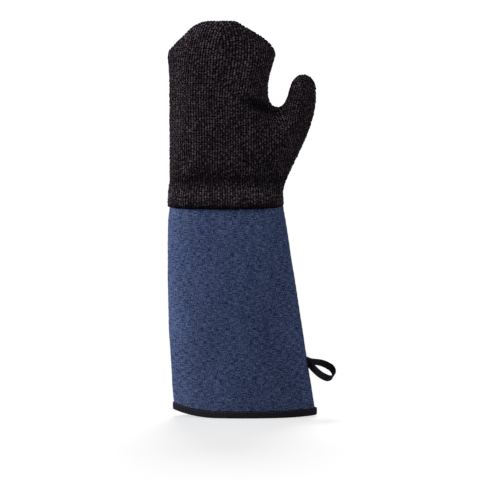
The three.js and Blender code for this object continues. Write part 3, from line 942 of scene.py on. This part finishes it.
def add_binding():
    """Bias tape folded round the hem: an outer leaf, a rounded fold and an inner leaf, slightly rippled."""
    loop, out, length = hem_ring(2 * MM, 330)
    lift = hem_rise(loop[:, 0])
    reach, inner = 1.2 * MM, -4.2 * MM
    top = BINDING_TOP
    profile = [(reach - 0.7 * MM, top - 0.2 * MM), (reach, top), (reach + 0.7 * MM, top - 0.6 * MM),
               (reach + 1.0 * MM, top - 1.8 * MM), (reach + 0.7 * MM, top - 2.6 * MM),
               (reach + 1.0 * MM, top - 3.6 * MM),
               (reach + 1.1 * MM, top - 5.5 * MM), (reach + 0.9 * MM, 1.6 * MM), (reach + 0.3 * MM, 0.5 * MM),
               (reach - 1.0 * MM, 0.0), (inner + 1.2 * MM, 0.0), (inner - 0.2 * MM, 0.4 * MM),
               (inner - 1.0 * MM, 1.5 * MM), (inner - 1.1 * MM, top - 3.5 * MM),
               (inner - 0.8 * MM, top - 2.6 * MM), (inner - 1.0 * MM, top - 1.8 * MM),
               (inner - 0.8 * MM, top - 0.5 * MM), (inner, top), (inner + 0.5 * MM, top - 0.5 * MM),
               (inner + 0.3 * MM, 2.2 * MM), (reach - 0.9 * MM, 1.9 * MM)]
    profile = np.array(profile)
    count, ring = len(profile), len(loop)
    along = np.concatenate([[0], np.cumsum(np.linalg.norm(np.diff(profile, axis=0), axis=1))])
    ripple = 0.35 * MM * np.sin(
        length * 2 * math.pi / (5.2 * MM) + 4 * value_noise(length * 50, length * 0, 61))
    wave = 0.5 * MM * (value_noise(length * 25, length * 0, 62) - 0.5)
    verts = np.empty((ring, count, 3))
    for k, (far, height) in enumerate(profile):
        high = smoothstep(height / top)
        push = far + (ripple * 0.6 * (1 if far > 0 else 0.4) + wave) * (0.3 + 0.7 * high)
        verts[:, k, :2] = loop + out * push[:, None]
        verts[:, k, 2] = height + lift + (0.25 * MM * np.sin(length * 2 * math.pi / (37 * MM)) * high)
    index = np.arange(ring * count).reshape(ring, count)
    nxt, up = np.roll(index, -1, 0), np.roll(index, -1, 1)
    faces = np.stack([index, np.roll(nxt, -1, 1), nxt, up], -1)[..., [0, 2, 1, 3]].reshape(-1, 4)
    obj = build("hem_bias_binding", verts.reshape(-1, 3), faces, BIAS)
    weave = np.stack(np.broadcast_arrays(length[:, None], along[None, :], 0.0), -1)
    set_attribute(obj.data, "weave", weave.reshape(-1, 3))
    fix_normals(obj)
    subdivide(obj, 1)
    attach(obj, "cuff")
    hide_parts("hem_binding")
    stitch_height = top - 2.4 * MM
    path = np.column_stack([loop + out * (reach + 0.75 * MM), stitch_height + lift])
    side = np.column_stack([out, np.zeros(ring)])
    add_stitches("hem_stitching", path, side, 3.2 * MM, 0.8 * MM, 0.33 * MM, "cuff", "hem_topstitch")


def fix_normals(obj):
    bm = bmesh.new()
    bm.from_mesh(obj.data)
    bmesh.ops.recalc_face_normals(bm, faces=bm.faces)
    bm.to_mesh(obj.data)
    bm.free()


# ---- Stitches ----
THREAD_DIP = 0.5  # how much of a stitch's bow lies under the cloth


def stitch_mesh(path, outward, long, gap, radius):
    """Little bowed threads along a path: each goes under the cloth at both ends."""
    step = np.linalg.norm(np.diff(path, axis=0), axis=1)
    length = np.concatenate([[0], np.cumsum(step)])
    starts = np.arange(0, length[-1] - long, long + gap)
    rings, sides = 6, 6
    verts, faces, weave = [], [], []
    for n, start in enumerate(starts):
        at = start + long * np.linspace(0, 1, rings)
        centre = np.stack([np.interp(at, length, path[:, k]) for k in range(3)], 1)
        out = np.stack([np.interp(at, length, outward[:, k]) for k in range(3)], 1)
        out /= np.linalg.norm(out, axis=1, keepdims=True)
        bow = np.sin(np.linspace(0, math.pi, rings))
        centre += out * ((bow ** 0.6 - THREAD_DIP) * radius * 1.6)[:, None]
        ahead = np.gradient(centre, axis=0)
        ahead /= np.linalg.norm(ahead, axis=1, keepdims=True)
        across = np.cross(ahead, out)
        thick = radius * (0.55 + 0.45 * bow)
        base = len(verts)
        for k in range(rings):
            for m in range(sides):
                a = 2 * math.pi * m / sides
                verts.append(centre[k] + (out[k] * math.cos(a) * 0.8 + across[k] * math.sin(a)) * thick[k])
                weave.append((n * 0.01, at[k], m * radius))
        for k in range(rings - 1):
            for m in range(sides):
                a, b = base + k * sides + m, base + k * sides + (m + 1) % sides
                faces.append((a, b, b + sides, a + sides))
        faces.append(tuple(base + m for m in range(sides))[::-1])
        faces.append(tuple(base + (rings - 1) * sides + m for m in range(sides)))
    return np.array(verts), faces, np.array(weave)


def add_stitches(name, path, outward, long, gap, radius, where, *nodes):
    verts, faces, weave = stitch_mesh(path, outward, long, gap, radius)
    obj = build(name, verts, faces, THREAD)
    set_attribute(obj.data, "weave", weave)
    fix_normals(obj)
    if isinstance(where, str):
        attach(obj, where)
    else:
        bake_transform(obj)
    if nodes:
        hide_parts(*nodes)


def add_side_seams():
    """The thread of each side seam, deep in the valley between the two denim panels."""
    for name, line, sign in (("left", LEFT_LINE, -1), ("right", RIGHT_LINE, 1)):
        z = np.linspace(12 * MM, DENIM_TOP_Z - 16 * MM, 160)
        x = line_at(line, z) - sign * 1.6 * MM
        path = np.stack([x, 0 * z, z], 1)
        outward = np.tile([sign, 0.0, 0.0], (len(z), 1))
        seam = f"side_seam_{name}"
        add_stitches(f"{seam}_stitching", path, outward, 2.6 * MM, 0.5 * MM, 0.3 * MM, "cuff", seam)


def add_wrist_stitching():
    loop, out, _ = hem_ring(TERRY_EDGE_Z + 5 * MM, 200)
    path = np.column_stack([loop + out * 0.2 * MM, np.full(len(loop), TERRY_EDGE_Z + 6 * MM)])
    side = np.column_stack([out, np.zeros(len(loop))])
    add_stitches("wrist_seam_stitching", path, side, 3 * MM, 0.6 * MM, 0.3 * MM, "cuff", "wrist_stitch")


def add_hand_seams():
    """The thread of the seam round the hand, down in its groove, one piece to each packed stretch of it."""
    line, out = hand_edge(1.5 * MM)
    keep = line[:, 1] > WRIST_Z + 2 * MM
    line, out = line[keep], out[keep]
    path = np.column_stack([line[:, 0], 0 * line[:, 0], line[:, 1]])
    outward = np.column_stack([out[:, 0], 0 * out[:, 0], out[:, 1]])
    path -= outward * 3.2 * MM
    region = region_of(path)
    at_crotch = (region == 1) & (np.abs(path[:, 0] - CROTCH[0]) < 20 * MM) & (path[:, 2] < CROTCH[2] + 9 * MM)
    left, right = path[:, 0] < CROTCH[0] - 40 * MM, path[:, 0] > CROTCH[0]
    stretches = {
        "palm_seam_left": (region == 0) & left, "palm_seam_crotch": at_crotch,
        "palm_seam_right": (region == 0) & right, "fingers_seam": (region == 1) & ~at_crotch,
        "thumb_seam": region == 2,
    }
    for node, here in stretches.items():
        add_stitches(f"{node}_stitching", path[here], outward[here], 2.6 * MM, 0.5 * MM, 0.3 * MM,
                     BENDS[node.split("_")[0]], node)


# ---- The hanging loop ----
LOOP_LONG = 49.5 * MM  # from inside the seam to the far end of the eye
LOOP_HALF_SPREAD = 18 * MM
LOOP_DROOP = math.radians(28)
LOOP_TILT = math.radians(27)
TAPE_WIDE = 12.5 * MM
TAPE_THICK = 1.3 * MM


def loop_centreline(count):
    """A teardrop from the seam round the eye and back, as (along, across) in the loop's own plane."""
    far, wide = LOOP_LONG, LOOP_HALF_SPREAD
    turn = wide * 0.6
    t = np.linspace(0, 1, 60)[:, None]
    strand = bezier([(0, 1.0 * MM), (far * 0.3, 3.0 * MM), (far * 0.42, wide), (far - turn, wide * 0.86)], t)
    angle = np.linspace(math.pi / 2, -math.pi / 2, 40)[1:-1]
    end = np.stack([far - turn + turn * np.cos(angle), wide * 0.86 * np.sin(angle)], 1)
    line = np.concatenate([strand, end, strand[::-1] * (1, -1)])
    length = np.concatenate([[0], np.cumsum(np.linalg.norm(np.diff(line, axis=0), axis=1))])
    at = np.linspace(0, length[-1], count)
    return np.interp(at, length, line[:, 0]), np.interp(at, length, line[:, 1])


def add_loop():
    count = 90
    along, across = loop_centreline(count)
    down = np.array([math.cos(LOOP_DROOP), 0, -math.sin(LOOP_DROOP)])
    up = np.array([math.sin(LOOP_DROOP), 0, math.cos(LOOP_DROOP)])
    tilted = np.array([0, math.cos(LOOP_TILT), 0]) + up * math.sin(LOOP_TILT)
    root = SEAM_POINT + [-7.5 * MM, 0, 0.3 * MM]
    settled = smoothstep(along / (11 * MM))[:, None]
    spread = np.array([0, 1.0, 0]) * (1 - settled) + tilted * settled
    spread /= np.linalg.norm(spread, axis=1, keepdims=True)
    centre = root + along[:, None] * down + across[:, None] * spread
    tangent = np.gradient(centre, axis=0)
    tangent /= np.linalg.norm(tangent, axis=1, keepdims=True)
    wide = np.cross(down, spread)
    wide = wide - (wide * tangent).sum(1, keepdims=True) * tangent
    wide /= np.linalg.norm(wide, axis=1, keepdims=True)
    thick = np.cross(tangent, wide)
    half_w, half_t = TAPE_WIDE / 2, TAPE_THICK / 2
    angles = np.linspace(0, 2 * math.pi, 24, endpoint=False)
    c, s = np.cos(angles), np.sin(angles)
    section = np.stack([half_w * np.sign(c) * np.abs(c) ** 0.35, half_t * np.sign(s) * np.abs(s) ** 0.6], 1)
    length = np.concatenate([[0], np.cumsum(np.linalg.norm(np.diff(centre, axis=0), axis=1))])
    cup = 0.35 * MM * (value_noise(length * 90, length * 0, 71) - 0.5)
    verts, weave = [], []
    for k in range(count):
        for w, t in section:
            off = t + cup[k] - 0.25 * MM * (w / half_w) ** 2
            verts.append(centre[k] + wide[k] * w + thick[k] * off)
            weave.append((w, length[k], 0.2 * np.sign(t)))
    sides = len(section)
    faces = [(k * sides + m, k * sides + (m + 1) % sides,
              (k + 1) * sides + (m + 1) % sides, (k + 1) * sides + m)
             for k in range(count - 1) for m in range(sides)]
    faces.append(tuple(range(sides))[::-1])
    faces.append(tuple((count - 1) * sides + m for m in range(sides)))
    obj = build("hanging_tape_loop", verts, faces, TAPE)
    set_attribute(obj.data, "weave", np.array(weave))
    fix_normals(obj)
    sideways = np.array([1, 0, 0])
    bend = ("cuff", "loop", tuple(SEAM_POINT - 5 * MM * sideways), tuple(SEAM_POINT + 7 * MM * sideways))
    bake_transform(obj)
    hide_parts("hanging_loop")
    for face in (1, -1):
        for edge in (1, -1):
            path = centre + wide * edge * (half_w - 1.5 * MM) + thick * face * half_t
            path = path + thick * (cup - 0.2 * MM)[:, None]
            place = f"{'outer' if face > 0 else 'inner'}_{'upper' if edge > 0 else 'lower'}"
            name = f"loop_edge_stitching_{place}"
            add_stitches(name, path[4:-4], thick[4:-4] * face, 2.0 * MM, 0.7 * MM, 0.22 * MM, bend)
    add_bar_tack(root + [2.2 * MM, 0, -1.2 * MM])


def add_bar_tack(middle):
    """Close satin stitches across the loop's root, in front of the seam."""
    rows = 15
    tall, wide = 9.5 * MM, 2.6 * MM
    verts, faces, weave = np.empty((0, 3)), [], np.empty((0, 3))
    for k in range(rows):
        z = (k / (rows - 1) - 0.5) * tall
        along = np.linspace(-wide / 2, wide / 2, 8)
        slope = 0.25 * MM * (1 if k % 2 else -1)
        path = middle + np.stack([along + z * SEAM_UP[0], np.full(8, -3.1 * MM), z + slope * along / wide], 1)
        outward = np.tile([0.0, -1.0, 0.0], (8, 1))
        v, f, w = stitch_mesh(path, outward, wide * 0.98, wide, 0.36 * MM)
        faces += [tuple(i + len(verts) for i in face) for face in f]
        verts, weave = np.concatenate([verts, v]), np.concatenate([weave, w + [k * 0.01, 0, 0]])
    obj = build("loop_bar_tack_stitching", verts, faces, THREAD)
    set_attribute(obj.data, "weave", weave)
    fix_normals(obj)
    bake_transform(obj)
    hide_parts("loop_bar_tack")


# ---- The studio ----
def add_area_light(name, place, aim, size, power):
    data = bpy.data.lights.new(name, "AREA")
    data.shape = "DISK"
    data.size = size
    data.energy = power
    light = bpy.data.objects.new(name, data)
    light.location = place
    light.rotation_mode = "QUATERNION"
    light.rotation_quaternion = (Vector(aim) - Vector(place)).to_track_quat("-Z", "Y")
    bpy.context.scene.collection.objects.link(light)
    return light


def keep_off(light, obj):
    """Lets a light pass an object by, so the floor is evenly lit and shows the top light's soft shadow."""
    receivers = bpy.data.collections.new(light.name + "_receivers")
    receivers.objects.link(obj)
    receivers.collection_objects[0].light_linking.link_state = "EXCLUDE"
    light.light_linking.receiver_collection = receivers


def add_sun(name, azimuth, elevation, softness, strength):
    """A sun at an azimuth, 0 in front of the palm and 90 at the thumb's side, and an elevation."""
    data = bpy.data.lights.new(name, "SUN")
    data.angle = math.radians(softness)
    data.energy = strength
    light = bpy.data.objects.new(name, data)
    a, e = math.radians(azimuth), math.radians(elevation)
    source = Vector((math.sin(a) * math.cos(e), -math.cos(a) * math.cos(e), math.sin(e)))
    light.rotation_mode = "QUATERNION"
    light.rotation_quaternion = (-source).to_track_quat("-Z", "Y")
    light.location = source * 3
    bpy.context.scene.collection.objects.link(light)


def add_studio():
    scene = bpy.context.scene
    size = 12.0
    floor = build("studio_floor", [(-size, -size, 0), (size, -size, 0), (size, size, 0), (-size, size, 0)],
                  [(0, 1, 2, 3)], floor_material())
    floor.visible_diffuse = False
    floor.visible_glossy = False
    middle = (0.0, 0.0, 0.3)
    key_place, fill_place = (-2.97, -0.5, 1.4), (2.3, -2.1, 1.4)
    keep_off(add_area_light("key", key_place, middle, size=1.2, power=192), floor)
    keep_off(add_area_light("fill", fill_place, middle, size=1.6, power=54), floor)
    add_sun("top", azimuth=179, elevation=56, softness=24, strength=0.8)
    studio_world()
    scene.view_settings.view_transform = "Standard"


def add_camera():
    """Straight on to the palm from 3 m, a little above it, as the mitt was photographed."""
    far, elevation = 3.0, math.radians(5)
    across = 0.726  # the width of the view at the mitt
    aim = Vector((-0.0165, 0, 0.269))
    data = bpy.data.cameras.new("camera")
    data.sensor_width = 36
    data.lens = 36 * far / across
    camera = bpy.data.objects.new("camera", data)
    back = Vector((0, -math.cos(elevation), math.sin(elevation)))
    camera.location = aim + back * far
    camera.rotation_mode = "QUATERNION"
    camera.rotation_quaternion = (-back).to_track_quat("-Z", "Y")
    bpy.context.scene.collection.objects.link(camera)
    bpy.context.scene.camera = camera


add_camera()
add_studio()
add_terry()
add_inner_layer("batting", WADDING, 6 * MM, 4 * MM, lambda part: part)
add_inner_layer("lining", LINING, 6 * MM, 0.8 * MM, declare_cut)
add_denim()
add_cuff_lining()
add_binding()
add_side_seams()
add_wrist_stitching()
add_hand_seams()
add_loop()
